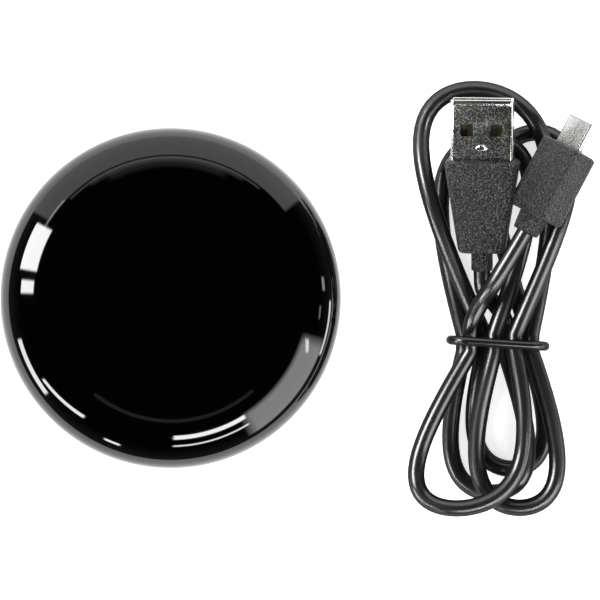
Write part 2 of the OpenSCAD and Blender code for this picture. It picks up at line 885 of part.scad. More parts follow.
// side, first and last place at the waist, reach, sideways shift, swell and layers along it
lobes = [
    [-1, 0.4, -1.7, 27.5, 1.4, -8.8, [0, 0.9, 1.1, 0.05, 0, 0, 0]],
    [1, -1.7, -0.2, 37.8, 2, 13.1, [0, 0, 0.3, 1.1, 0.9, 1.2, 1.5]],
    [-1, -0.2, 1.7, 30.3, 1.4, 10.3, [1.5, 1.2, 1.25, 1.25, 1.35, 1.2, 1]],
    [1, 1.7, -0.7, 47.6, -6.5, -17.9, [1, 0.2, 1.4, 1.2, 1.2, 1.9, 0.55]],
    [-1, -0.7, 1.6, 22.8, 1.1, 7, [0.55, 0, 0, 0, 0, 0, 0]],
    [1, 1.6, 0.85, 39.3, 3, 16.3, [0, 0, 0, 0, 0.2, 2.55, 1.65]],
    [-1, 0.85, -1.4, 30.3, -7, -13.6, [1.65, 2.1, 2.3, 2.3, 2.05, 1.6, 1.3]]
];

function ease(f) = f * f * (3 - 2 * f);

function lobe_height(layers, u) =
    let (k = min(len(layers) - 2, floor(u)), f = ease(u - k))
    layers[k] * (1 - f) + layers[k + 1] * f;

function lobe_point(p, i) =
    let (t = 180 * i / steps_a_lobe,
         a = waist_x + p[1] * waist_pitch,
         b = waist_x + p[2] * waist_pitch,
         full = (sin(t) + full_share * sin(3 * t)) / (1 - full_share))
    [(a + b) / 2 + p[4] * sin(t) - cos(t) * ((b - a) / 2 + p[5] * sin(t)),
     waist_y + p[0] * (straight_run + p[3] * full),
     cable_d / 2 + rest_gap + tie_lift * pow(cos(t), sink_power)
         + layer * lobe_height(p[6], (len(p[6]) - 1) * i / steps_a_lobe)];

// height that the tie under the strands adds at the waist
tie_lift = 1.95;

hank_body = [for (p = lobes) for (i = [0 : steps_a_lobe]) lobe_point(p, i)];
hank_in = [hank_body[0][0], waist_y + straight_run, hank_body[0][2]];
hank_last = hank_body[len(hank_body) - 1];
hank_out = [hank_last[0], waist_y + straight_run, hank_last[2]];
hank_route = concat([hank_in], hank_body, [hank_out]);

// ways in which the plugs point, and how far the route's ends are drawn straight
usb_a_way = [0, cos(usb_a_pitch), sin(usb_a_pitch)];
micro_way = [sin(micro_yaw), cos(micro_yaw), 0];
end_pull = 3;
usb_a_route = [
    hank_in, [64.8, -4.2, 3.75], [62.9, -1.2, 5.5], [60.7, 1.6, 7.7],
    [usb_a_x, usb_a_y, usb_a_z] - (grip_l + sleeve_l) * usb_a_way
];
micro_route = [
    hank_out, [58.7, -3.7, 10], [60.4, -0.4, 11.2], [63, 3.6, 13.4],
    [micro_x, micro_y, micro_z] - (micro_l + neck_l) * micro_way
];

function unit(v) = v / norm(v);

// smooth curve through the points, straight at both ends
function spline_point(q, i, t) =
    (2 * q[i] + (q[i + 1] - q[i - 1]) * t
        + (2 * q[i - 1] - 5 * q[i] + 4 * q[i + 1] - q[i + 2]) * t * t
        + (3 * q[i] - q[i - 1] - 3 * q[i + 1] + q[i + 2]) * t * t * t) / 2;

function smooth_route(points, first, last, steps) =
    let (n = len(points), q = concat([points[0] - first], points, [points[n - 1] + last]))
    concat([for (i = [1 : n - 1]) for (k = [0 : steps - 1]) spline_point(q, i, k / steps)], [points[n - 1]]);

// ring round a point of the route, square to the way it runs, upright as far as it can be
function tube_ring(route, i, r, sides, first, last) =
    let (n = len(route),
         way = i == 0 ? first : i == n - 1 ? last : unit(unit(route[i + 1] - route[i]) + unit(route[i] - route[i - 1])),
         side = unit(cross(way, [0, 0, 1])),
         up = cross(side, way))
    [for (k = [0 : sides - 1])
        let (a = 360 * (k + 0.5) / sides)
        route[i] + r * (cos(a) * side + sin(a) * up)];

module tube(route, r, sides, first, last) {
    n = len(route);
    points = [for (i = [0 : n - 1]) each tube_ring(route, i, r, sides, first, last)];
    walls = [for (i = [0 : n - 2]) for (k = [0 : sides - 1])
        let (a = i * sides + k, b = i * sides + (k + 1) % sides)
        each [[a, a + sides, b], [b, a + sides, b + sides]]];
    caps = [for (k = [1 : sides - 2])
        each [[0, k, k + 1], [(n - 1) * sides, (n - 1) * sides + k + 1, (n - 1) * sides + k]]];
    polyhedron(points = points, faces = concat(walls, caps));
}

// least distance between two stretches of the route further apart than this along it
far_steps = 4;
function least(values) = min([for (v = values) v]);
hank_gap = least([
    for (i = [0 : len(hank_route) - 1 - far_steps])
        for (j = [i + far_steps : len(hank_route) - 1])
            norm(hank_route[i] - hank_route[j])]) - cable_d;
echo(least_gap_of_the_wound_cable = hank_gap);

module cable_hank() {
    color("dimgray")
        tube(hank_route, cable_d / 2, hank_sides, [0, -1, 0], [0, 1, 0]);
}

module cable_usb_a_end() {
    color("gray")
        tube(smooth_route(usb_a_route, [0, end_pull, 0], end_pull * usb_a_way, free_steps),
             cable_d / 2, free_sides, [0, 1, 0], usb_a_way);
}

module cable_micro_end() {
    color("gray")
        tube(smooth_route(micro_route, [0, end_pull, 0], end_pull * micro_way, free_steps),
             cable_d / 2, free_sides, [0, 1, 0], micro_way);
}

module cable_tie() {
    run = [tie_w - tie_d, tie_h - tie_d];
    corner = tie_corner;
    translate([waist_x, waist_y, tie_h / 2])
        rotate([90, 0, -tie_slope])
            union() {
                for (x = [-1, 1])
                    translate([x * run[0] / 2, run[1] / 2 - corner, 0])
                        rotate([90, 0, 0])
                            cylinder(d = tie_d, h = run[1] - 2 * corner, $fn = round_small);
                for (y = [-1, 1])
                    translate([-run[0] / 2 + corner, y * run[1] / 2, 0])
                        rotate([0, 90, 0])
                            cylinder(d = tie_d, h = run[0] - 2 * corner, $fn = round_small);
                for (x = [-1, 1], y = [-1, 1])
                    translate([x * (run[0] / 2 - corner), y * (run[1] / 2 - corner), 0])
                        rotate([0, 0, x > 0 ? (y > 0 ? 0 : 270) : (y > 0 ? 90 : 180)])
                            rotate_extrude(angle = 90, $fn = round_mid)
                                translate([corner, 0])
                                    circle(d = tie_d, $fn = round_small);
            }
}

color("black") top_shell();
color("darkslategray") bottom_cover();
color("dimgray") foot_pad();
color("silver") case_screws();
color("darkgreen") main_pcb();
color("navy") wifi_module();
color("silver") wifi_shield();
color("plum") ir_led_1();
color("plum") ir_led_2();
color("plum") ir_led_3();
color("plum") ir_led_4();
color("plum") ir_led_5();
color("plum") ir_led_6();
color("plum") ir_led_top();
color("indigo") ir_receiver();
color("ivory") status_led();
color("lightcyan") light_pipe();
color("silver") usb_receptacle_shell();
color("black") usb_receptacle_tongue();
color("dimgray") reset_switch();
color("slategray") reset_button();
color("white") switch_plunger();
color("black") regulator();
color("silver") capacitor();
color("black") driver_transistor_1();
color("black") driver_transistor_2();
color("silver") usb_a_shell();
color("white") usb_a_tongue();
color("gold") usb_a_contacts();
color("dimgray") usb_a_overmould();
color("dimgray") usb_a_relief();
color("silver") micro_plug_shell();
color("gray") micro_plug_latches();
color("white") micro_plug_tongue();
color("dimgray") micro_plug_overmould();
color("dimgray") micro_plug_relief();
cable_hank();
cable_usb_a_end();
cable_micro_end();
color("black") cable_tie();
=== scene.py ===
"""Dresses an infrared remote-control hub and its wound power cable for a studio picture."""
import json
import logging
import math
from dataclasses import dataclass, field
from enum import Enum

import bmesh
import bpy
from mathutils import Matrix

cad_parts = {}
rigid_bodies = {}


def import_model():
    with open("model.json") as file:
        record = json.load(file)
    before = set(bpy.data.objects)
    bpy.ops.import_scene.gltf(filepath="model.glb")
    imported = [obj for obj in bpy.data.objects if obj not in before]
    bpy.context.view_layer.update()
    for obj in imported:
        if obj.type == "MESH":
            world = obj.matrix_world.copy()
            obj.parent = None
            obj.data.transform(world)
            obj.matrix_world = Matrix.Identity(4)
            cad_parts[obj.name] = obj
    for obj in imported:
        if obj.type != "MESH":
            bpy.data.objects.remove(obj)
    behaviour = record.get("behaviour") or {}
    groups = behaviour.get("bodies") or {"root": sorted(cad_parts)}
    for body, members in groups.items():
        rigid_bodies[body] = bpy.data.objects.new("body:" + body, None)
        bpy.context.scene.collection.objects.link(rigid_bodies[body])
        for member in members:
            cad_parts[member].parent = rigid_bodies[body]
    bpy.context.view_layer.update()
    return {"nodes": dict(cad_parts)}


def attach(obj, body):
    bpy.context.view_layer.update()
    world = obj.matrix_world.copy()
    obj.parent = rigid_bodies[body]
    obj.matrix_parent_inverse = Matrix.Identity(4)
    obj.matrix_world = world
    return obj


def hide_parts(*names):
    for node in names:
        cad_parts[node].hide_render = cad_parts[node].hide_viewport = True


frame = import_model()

MM = 0.001
log = logging.getLogger("hub")
Point = tuple[float, float, float]
Pair = tuple[float, float]


class Body(Enum):
    """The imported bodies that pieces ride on."""

    HUB = "hub"
    CABLE = "cable"


# Shader maths


@dataclass(frozen=True)
class Value:
    """A number that runs along a node link, with arithmetic written as Python operators."""

    tree: bpy.types.NodeTree
    link: bpy.types.NodeSocket

    def math(self, operation: str, *others: "Value | float", clamp: bool = False) -> "Value":
        """Adds a Math node that takes this value first.

        Args:
            operation: the Math node's operation.
            others: the remaining operands.
            clamp: whether the result is held between 0 and 1.

        Returns:
            The node's result.
        """
        node = add_node(self.tree, "ShaderNodeMath", {"operation": operation, "use_clamp": clamp},
                        dict(enumerate((self, *others))))
        return Value(self.tree, node.outputs[0])

    def __add__(self, other: "Value | float") -> "Value":
        """Returns the sum."""
        return self.math("ADD", other)

    __radd__ = __add__

    def __sub__(self, other: "Value | float") -> "Value":
        """Returns the difference."""
        return self.math("SUBTRACT", other)

    def __rsub__(self, other: float) -> "Value":
        """Returns a number less this value."""
        return self.math("MULTIPLY", -1.0).math("ADD", other)

    def __mul__(self, other: "Value | float") -> "Value":
        """Returns the product."""
        return self.math("MULTIPLY", other)

    __rmul__ = __mul__

    def __truediv__(self, other: "Value | float") -> "Value":
        """Returns the quotient."""
        return self.math("DIVIDE", other)

    def clamped(self) -> "Value":
        """Returns the value held between 0 and 1."""
        return self.math("ADD", 0.0, clamp=True)

    def window(self, low: float, high: float, soft: float) -> "Value":
        """Marks where the value lies between two limits.

        Args:
            low: lower limit.
            high: upper limit.
            soft: width of the fade at each limit.

        Returns:
            1 inside, 0 outside.
        """
        rise = ((self - (low - soft / 2)) / soft).clamped()
        fall = (((high + soft / 2) - self) / soft).clamped()
        return rise * fall

    def between(self, start: float, end: float) -> "Value":
        """Maps the value from 0..1 to a range of numbers."""
        return self * (end - start) + start


def add_node(tree: bpy.types.NodeTree, kind: str, settings: dict[str, object] | None = None,
             inputs: dict[object, object] | None = None) -> bpy.types.Node:
    """Makes any node of a tree.

    Args:
        tree: the node tree.
        kind: the node's type name.
        settings: properties, set before anything is linked.
        inputs: socket names or numbers with numbers, colours, values or output sockets.

    Returns:
        The new node.
    """
    node = tree.nodes.new(kind)
    for name, setting in (settings or {}).items():
        if name == "stops":
            ramp = node.color_ramp
            while len(ramp.elements) > 1:
                ramp.elements.remove(ramp.elements[-1])
            for k, (place, colour) in enumerate(setting):
                stop = ramp.elements[0] if k == 0 else ramp.elements.new(place)
                stop.position, stop.color = place, (*colour, 1.0)
        else:
            setattr(node, name, setting)
    for name, given in (inputs or {}).items():
        if isinstance(given, Value):
            tree.links.new(given.link, node.inputs[name])
        elif isinstance(given, bpy.types.NodeSocket):
            tree.links.new(given, node.inputs[name])
        elif given is not None:
            node.inputs[name].default_value = given
    return node


# Finishes

# size of a painted glint against its pit, the noise at which it starts, and how fast it brightens
GLINT_SIZE, GLINT_START, GLINT_RISE = 0.7, 0.49, 6.0


@dataclass(frozen=True)
class Finish:
    """A moulded, painted or metal surface.

    Grain is a fine bump and mottle a slow change of colour and gloss; the bright points of a
    spark-eroded mould are painted glints over its pits. Film is a sheen that fades as the surface turns
    away.
    """

    name: str
    slot: str
    colour: Point
    roughness: float
    metallic: float = 0.0
    grain_mm: float = 0.25
    grain_depth: float = 0.1
    grain_rough: float = 0.05
    mottle_mm: float = 6.0
    mottle: float = 0.12
    glint: float = 0.0
    pit_and_glint_mm: float = 0.22
    clear: float = 0.0
    specular: float = 0.5
    ior: float = 1.5
    film: float = 0.0
    film_rough: float = 0.2
    film_fall: float = 1.7
    film_ior: float = 1.6

    def make(self) -> bpy.types.Material:
        """Builds the material.

        Returns:
            The material, made once for each finish.
        """
        name = f"{self.name}_finish"
        found = bpy.data.materials.get(name)
        if found:
            return found
        material = bpy.data.materials.new(name)
        material.use_nodes = True
        tree = material.node_tree
        tree.nodes.clear()
        place = add_node(tree, "ShaderNodeTexCoord").outputs["Object"]
        grain = self.noise(tree, place, self.grain_mm, 3.0)
        slow = self.noise(tree, place, self.mottle_mm, 2.0)
        dark = tuple(c * (1 - self.mottle) for c in self.colour)
        light = tuple(min(1.0, c * (1 + self.mottle)) for c in self.colour)
        colour = self.blend(tree, slow, dark, light)
        height = grain
        if self.glint:
            cells = add_node(tree, "ShaderNodeTexVoronoi", {"feature": "F1"},
                             {"Vector": place, "Scale": 1 / (self.pit_and_glint_mm * MM)})
            pit = Value(tree, cells.outputs["Distance"])
            height = grain * 0.5 + pit
            # painted glints: bright points of colour where light would catch the spark-eroded pits
            bright = tuple(min(1.0, c + self.glint) for c in self.colour)
            glints = self.noise(tree, place, self.pit_and_glint_mm * GLINT_SIZE, 2.0)
            share = ((glints - GLINT_START) * GLINT_RISE).clamped()
            colour = self.blend(tree, share, colour, bright)
        rough = (slow * 0.5 + grain * 0.5).between(self.roughness - self.grain_rough,
                                                   self.roughness + self.grain_rough)
        bump = add_node(tree, "ShaderNodeBump", None, {
            "Strength": 1.0, "Distance": self.grain_depth * self.grain_mm * MM, "Height": height})
        surface = add_node(tree, "ShaderNodeBsdfPrincipled", None, {
            "Base Color": colour, "Roughness": rough, "Metallic": self.metallic, "IOR": self.ior,
            "Specular IOR Level": self.specular, "Transmission Weight": self.clear,
            "Normal": bump.outputs[0]})
        if self.film:
            facing = add_node(tree, "ShaderNodeLayerWeight", None, {"Blend": 0.5}).outputs["Facing"]
            sheen = (1.0 - Value(tree, facing) * self.film_fall).clamped() * self.film
            tree.links.new(sheen.link, surface.inputs["Coat Weight"])
            surface.inputs["Coat Roughness"].default_value = self.film_rough
            surface.inputs["Coat IOR"].default_value = self.film_ior
        add_node(tree, "ShaderNodeOutputMaterial", None, {"Surface": surface.outputs[0]})
        return material

    @staticmethod
    def noise(tree: bpy.types.NodeTree, place: bpy.types.NodeSocket, size_mm: float,
              detail: float) -> Value:
        """Adds a noise of a given size.

        Args:
            tree: the node tree.
            place: the socket of its coordinates.
            size_mm: size of its spots in millimetres.
            detail: how much finer noise it carries.

        Returns:
            The noise's value.
        """
        node = add_node(tree, "ShaderNodeTexNoise", {"noise_dimensions": "3D"},
                        {"Vector": place, "Scale": 1 / (size_mm * MM), "Detail": detail, "Roughness": 0.5})
        return Value(tree, node.outputs[0])

    @staticmethod
    def blend(tree: bpy.types.NodeTree, factor: Value, first: object,
              second: object) -> bpy.types.NodeSocket:
        """Mixes two colours.

        Args:
            tree: the node tree.
            factor: share of the second colour.
            first: a colour, or a colour socket.
            second: a colour, or a colour socket.

        Returns:
            The mixed colour's socket.
        """
        colours = [(*c, 1.0) if isinstance(c, tuple) else c for c in (first, second)]
        node = add_node(tree, "ShaderNodeMix", {"data_type": "RGBA"},
                        {0: factor, 6: colours[0], 7: colours[1]})
        return node.outputs[2]


DOME_GLOSS = Finish("dome_gloss", "dome_plastic", (0.0003, 0.0003, 0.00035), 0.035, grain_mm=0.6,
                    grain_depth=0.0004, grain_rough=0.012, mottle_mm=9, mottle=0.2)
COVER_BLACK = Finish("cover_black", "base_plastic", (0.012, 0.012, 0.013), 0.42, grain_mm=0.18,
                     grain_depth=0.12, mottle_mm=8)
FOOT_RUBBER = Finish("foot_rubber", "foot_rubber", (0.018, 0.018, 0.018), 0.75, grain_mm=0.35,
                     grain_depth=0.15)
ZINC = Finish("zinc_screw", "screw_steel", (0.45, 0.45, 0.46), 0.35, 1.0, grain_mm=0.15, grain_depth=0.06)
BOARD_GREEN = Finish("board_green", "board", (0.015, 0.09, 0.04), 0.35, grain_mm=0.8,
                     grain_depth=0.03, mottle_mm=3, mottle=0.35)
BOARD_BLUE = Finish("board_blue", "radio_board", (0.01, 0.03, 0.12), 0.35, grain_mm=0.8, grain_depth=0.03,
                    mottle_mm=3, mottle=0.35)
TIN_CAN = Finish("tin_can", "can", (0.6, 0.6, 0.6), 0.3, 1.0, grain_mm=0.3, grain_depth=0.04)
EMITTER_RESIN = Finish("emitter_resin", "emitter_resin", (0.5, 0.42, 0.62), 0.08, clear=0.8, grain_mm=1,
                       grain_depth=0.01, mottle=0.05)
RECEIVER_RESIN = Finish("receiver_resin", "receiver_resin", (0.03, 0.02, 0.03), 0.2, grain_depth=0.03)
CHIP_LENS = Finish("chip_lens", "status_resin", (0.85, 0.85, 0.8), 0.2, grain_depth=0.03)
LIGHT_GUIDE = Finish("light_guide", "light_guide", (0.85, 0.9, 0.92), 0.1, clear=0.9, grain_depth=0.01)
SOCKET_STEEL = Finish("socket_steel", "socket_steel", (0.55, 0.55, 0.55), 0.3, 1.0, grain_mm=0.2,
                      grain_depth=0.05)
NYLON_BLACK = Finish("nylon_black", "insulator_black", (0.015, 0.015, 0.015), 0.5, grain_depth=0.08)
SWITCH_BLACK = Finish("switch_black", "switch_plastic", (0.03, 0.03, 0.03), 0.5, grain_depth=0.08)
BUTTON_BLACK = Finish("button_black", "button_plastic", (0.015, 0.015, 0.016), 0.35, grain_depth=0.06)
PLUNGER_WHITE = Finish("plunger_white", "plunger_plastic", (0.7, 0.7, 0.68), 0.45, grain_depth=0.05)
CHIP_BLACK = Finish("chip_black", "chip_black", (0.02, 0.02, 0.022), 0.6, grain_depth=0.12)
CAN_ALUMINIUM = Finish("capacitor_can", "capacitor_can", (0.7, 0.7, 0.72), 0.3, 1.0, grain_depth=0.04)
# sandy steel with painted glints on its pits
PLUG_STEEL = Finish("plug_steel", "plug_steel", (0.12, 0.117, 0.108), 0.3, 1.0, grain_mm=0.3,
                    grain_depth=0.12, grain_rough=0.08, mottle_mm=4, mottle=0.06, glint=0.6,
                    pit_and_glint_mm=0.45)
TIP_STEEL = Finish("tip_steel", "plug_steel", (0.58, 0.58, 0.57), 0.26, 1.0, grain_mm=0.3, grain_depth=0.05,
                   grain_rough=0.08, mottle_mm=1.0, mottle=0.2)
# bright steel: painted highlights on the USB-A shell and its dimple, and the latches' own steel
BRIGHT_STEEL_AND_HIGHLIGHT = Finish("bright_steel_and_highlight", "plug_steel", (0.85, 0.85, 0.82), 0.2, 1.0, grain_mm=0.3, grain_depth=0.05)
# dark nylon of the USB-A tongue, also painted shade on the micro-USB tip
DARK_NYLON_AND_SHADE = Finish("dark_nylon_and_shade", "insulator_dark", (0.045, 0.042, 0.036), 0.45, grain_depth=0.05)
# gold contacts darkened a little: painted shade for the shadow inside the shell
GOLD_DARKENED_FOR_SHADE = Finish("contact_gold", "contact_gold", (0.5, 0.38, 0.18), 0.3, 1.0, grain_depth=0.05)
# spark-eroded grip with painted glints on its pits
GRIP_SPARK = Finish("grip_spark", "grip_pvc", (0.005, 0.005, 0.005), 0.4, grain_mm=0.3, grain_depth=2.0,
                    grain_rough=0.1, glint=0.08, pit_and_glint_mm=0.42, specular=0.4)
CABLE_SATIN = Finish("cable_satin", "cable_pvc", (0.003, 0.003, 0.003), 0.45, grain_mm=0.2,
                     grain_depth=0.12, mottle_mm=4, specular=0.05, film=1.0, film_rough=0.27,
                     film_fall=2.0, film_ior=1.9)
TIE_SATIN = Finish("tie_satin", "tie_wire", (0.003, 0.003, 0.003), 0.45, grain_mm=0.2, grain_depth=0.1,
                   specular=0.05, film=1.0, film_fall=2.1, film_rough=0.2, film_ior=1.8)


# Mesh tools


def as_object(name: str, mesh: bpy.types.Mesh, finish: Finish, body: Body,
              sharp_deg: float = 35.0) -> bpy.types.Object:
    """Links a mesh as a piece of the object.

    Args:
        name: the piece's name.
        mesh: its mesh.
        finish: its finish.
        body: the body that it rides on.
        sharp_deg: angle over which an edge stays sharp.

    Returns:
        The new object.
    """
    mesh.shade_smooth()
    mesh.set_sharp_from_angle(angle=math.radians(sharp_deg))
    piece = bpy.data.objects.new(name, mesh)
    bpy.context.scene.collection.objects.link(piece)
    mesh.materials.append(finish.make())
    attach(piece, body.value)
    log.info("made %s with %d faces", name, len(mesh.polygons))
    return piece


def mesh_from(name: str, points: list[Point], faces: list[tuple[int, ...]]) -> bpy.types.Mesh:
    """Makes a mesh from points in millimetres.

    Args:
        name: the mesh's name.
        points: vertices in millimetres.
        faces: vertex numbers of each face.

    Returns:
        The mesh, with its normals pointing out.
    """
    mesh = bpy.data.meshes.new(name)
    mesh.from_pydata([tuple(c * MM for c in p) for p in points], [], faces)
    form = bmesh.new()
    form.from_mesh(mesh)
    bmesh.ops.remove_doubles(form, verts=form.verts, dist=1e-7)
    bmesh.ops.recalc_face_normals(form, faces=form.faces)
    form.to_mesh(mesh)
    form.free()
    return mesh


def lathe(name: str, profile: list[Pair], segments: int = 192) -> bpy.types.Mesh:
    """Turns a profile about the Z axis.

    Args:
        name: the mesh's name.
        profile: radius and height of each point in millimetres, from one end on the axis to the other.
        segments: faces round the axis.

    Returns:
        The turned mesh.
    """
    points = [(r * math.cos(a), r * math.sin(a), z) for k in range(segments)
              for a in (2 * math.pi * k / segments,) for r, z in profile]
    n = len(profile)
    faces = [(k * n + i, k * n + i + 1, (k + 1) % segments * n + i + 1, (k + 1) % segments * n + i)
             for k in range(segments) for i in range(n - 1)]
    return mesh_from(name, points, faces)


def skin(name: str, rings: list[list[Point]], caps: bool = True) -> bpy.types.Mesh:
    """Skins a row of rings with the same number of points.

    Args:
        name: the mesh's name.
        rings: points of each ring in millimetres.
        caps: whether the first and last rings are closed.

    Returns:
        The skinned mesh.
    """
    n = len(rings[0])
    faces = [(i * n + k, i * n + (k + 1) % n, (i + 1) * n + (k + 1) % n, (i + 1) * n + k)
             for i in range(len(rings) - 1) for k in range(n)]
    if caps:
        faces += [tuple(range(n)), tuple(reversed(range((len(rings) - 1) * n, len(rings) * n)))]
    return mesh_from(name, [p for ring in rings for p in ring], faces)


def circle(radius: float, steps: int) -> list[Pair]:
    """Returns the points of a circle about the origin, in millimetres."""
    return [(radius * math.cos(a), radius * math.sin(a))
            for a in (2 * math.pi * k / steps for k in range(steps))]


def rounded_outline(width: float, height: float, radius: float, steps: int = 8) -> list[Pair]:
    """Draws a rounded rectangle about the origin.

    Args:
        width: its width in millimetres.
        height: its height in millimetres.
        radius: radius of its corners in millimetres.
        steps: steps round each corner.

    Returns:
        Its points in millimetres.
    """
    radius = min(radius, width / 2 - 1e-3, height / 2 - 1e-3)
    points = []
    for corner, (sx, sy) in enumerate(((1, 1), (-1, 1), (-1, -1), (1, -1))):
        for k in range(steps + 1):
            a = math.radians(90 * corner + 90 * k / steps)
            points.append((sx * (width / 2 - radius) + radius * math.cos(a),
                           sy * (height / 2 - radius) + radius * math.sin(a)))
    return points


def box_mesh(name: str, low: Point, high: Point) -> bpy.types.Mesh:
    """Makes a box.

    Args:
        name: the mesh's name.
        low: its lowest corner in millimetres.
        high: its highest corner in millimetres.

    Returns:
        The box.
    """
    rings = [[(low[0], y, low[2]), (high[0], y, low[2]), (high[0], y, high[2]), (low[0], y, high[2])]
             for y in (low[1], high[1])]
    return skin(name, rings)


def carve(mesh: bpy.types.Mesh, cutters: list[bpy.types.Mesh]) -> bpy.types.Mesh:
    """Cuts closed meshes out of another.

    Args:
        mesh: the mesh that is cut.
        cutters: the meshes that are taken away.

    Returns:
        The cut mesh.
    """
    scene = bpy.context.scene.collection.objects
    block = bpy.data.objects.new("block", mesh)
    scene.link(block)
    tools = []
    for k, cutter in enumerate(cutters):
        tool = bpy.data.objects.new(f"tool_{k}", cutter)
        scene.link(tool)
        tools.append(tool)
        cut = block.modifiers.new(f"cut_{k}", "BOOLEAN")
        cut.operation, cut.solver, cut.object = "DIFFERENCE", "EXACT", tool
    graph = bpy.context.evaluated_depsgraph_get()
    result = bpy.data.meshes.new_from_object(block.evaluated_get(graph))
    result.name = mesh.name
    for used in (block, *tools):
        bpy.data.objects.remove(used)
    return result


def placed(mesh: bpy.types.Mesh, matrix: Matrix) -> bpy.types.Mesh:
    """Moves a mesh's points.

    Args:
        mesh: the mesh.
        matrix: the move, with its shift in millimetres.

    Returns:
        The same mesh.
    """
    scaled = matrix.copy()
    scaled.translation = scaled.translation * MM
    mesh.transform(scaled)
    return mesh


def bevelled(mesh: bpy.types.Mesh, width_mm: float, segments: int,
             angle_deg: float = 40.0) -> bpy.types.Mesh:
    """Rounds a mesh's sharp edges.

    Args:
        mesh: the mesh.
        width_mm: width of the rounding.
        segments: faces across it.
        angle_deg: angle over which an edge is rounded.

    Returns:
        The rounded mesh.
    """
    piece = bpy.data.objects.new("soften", mesh)
    bpy.context.scene.collection.objects.link(piece)
    soften = piece.modifiers.new("soften", "BEVEL")
    soften.width, soften.segments, soften.limit_method = width_mm * MM, segments, "ANGLE"
    soften.angle_limit = math.radians(angle_deg)
    graph = bpy.context.evaluated_depsgraph_get()
    result = bpy.data.meshes.new_from_object(piece.evaluated_get(graph))
    result.name = mesh.name
    bpy.data.objects.remove(piece)
    return result


def dress(node: str, finish: Finish) -> None:
    """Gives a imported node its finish.

    Args:
        node: the node's name.
        finish: its finish.
    """
    piece = frame["nodes"][node]
    if not piece.material_slots:
        piece.data.materials.append(finish.make())
    for place in piece.material_slots:
        place.material = finish.make()


# Studio


@dataclass(frozen=True)
class Softbox:
    """A patch of the studio that shines: its directions in degrees, its brightness and its slant.

    The slant is how far the patch climbs for each degree that it goes round.
    """

    around: Pair
    above: Pair
    level: float
    slant: float = 0.0
    soft: float = 1.0


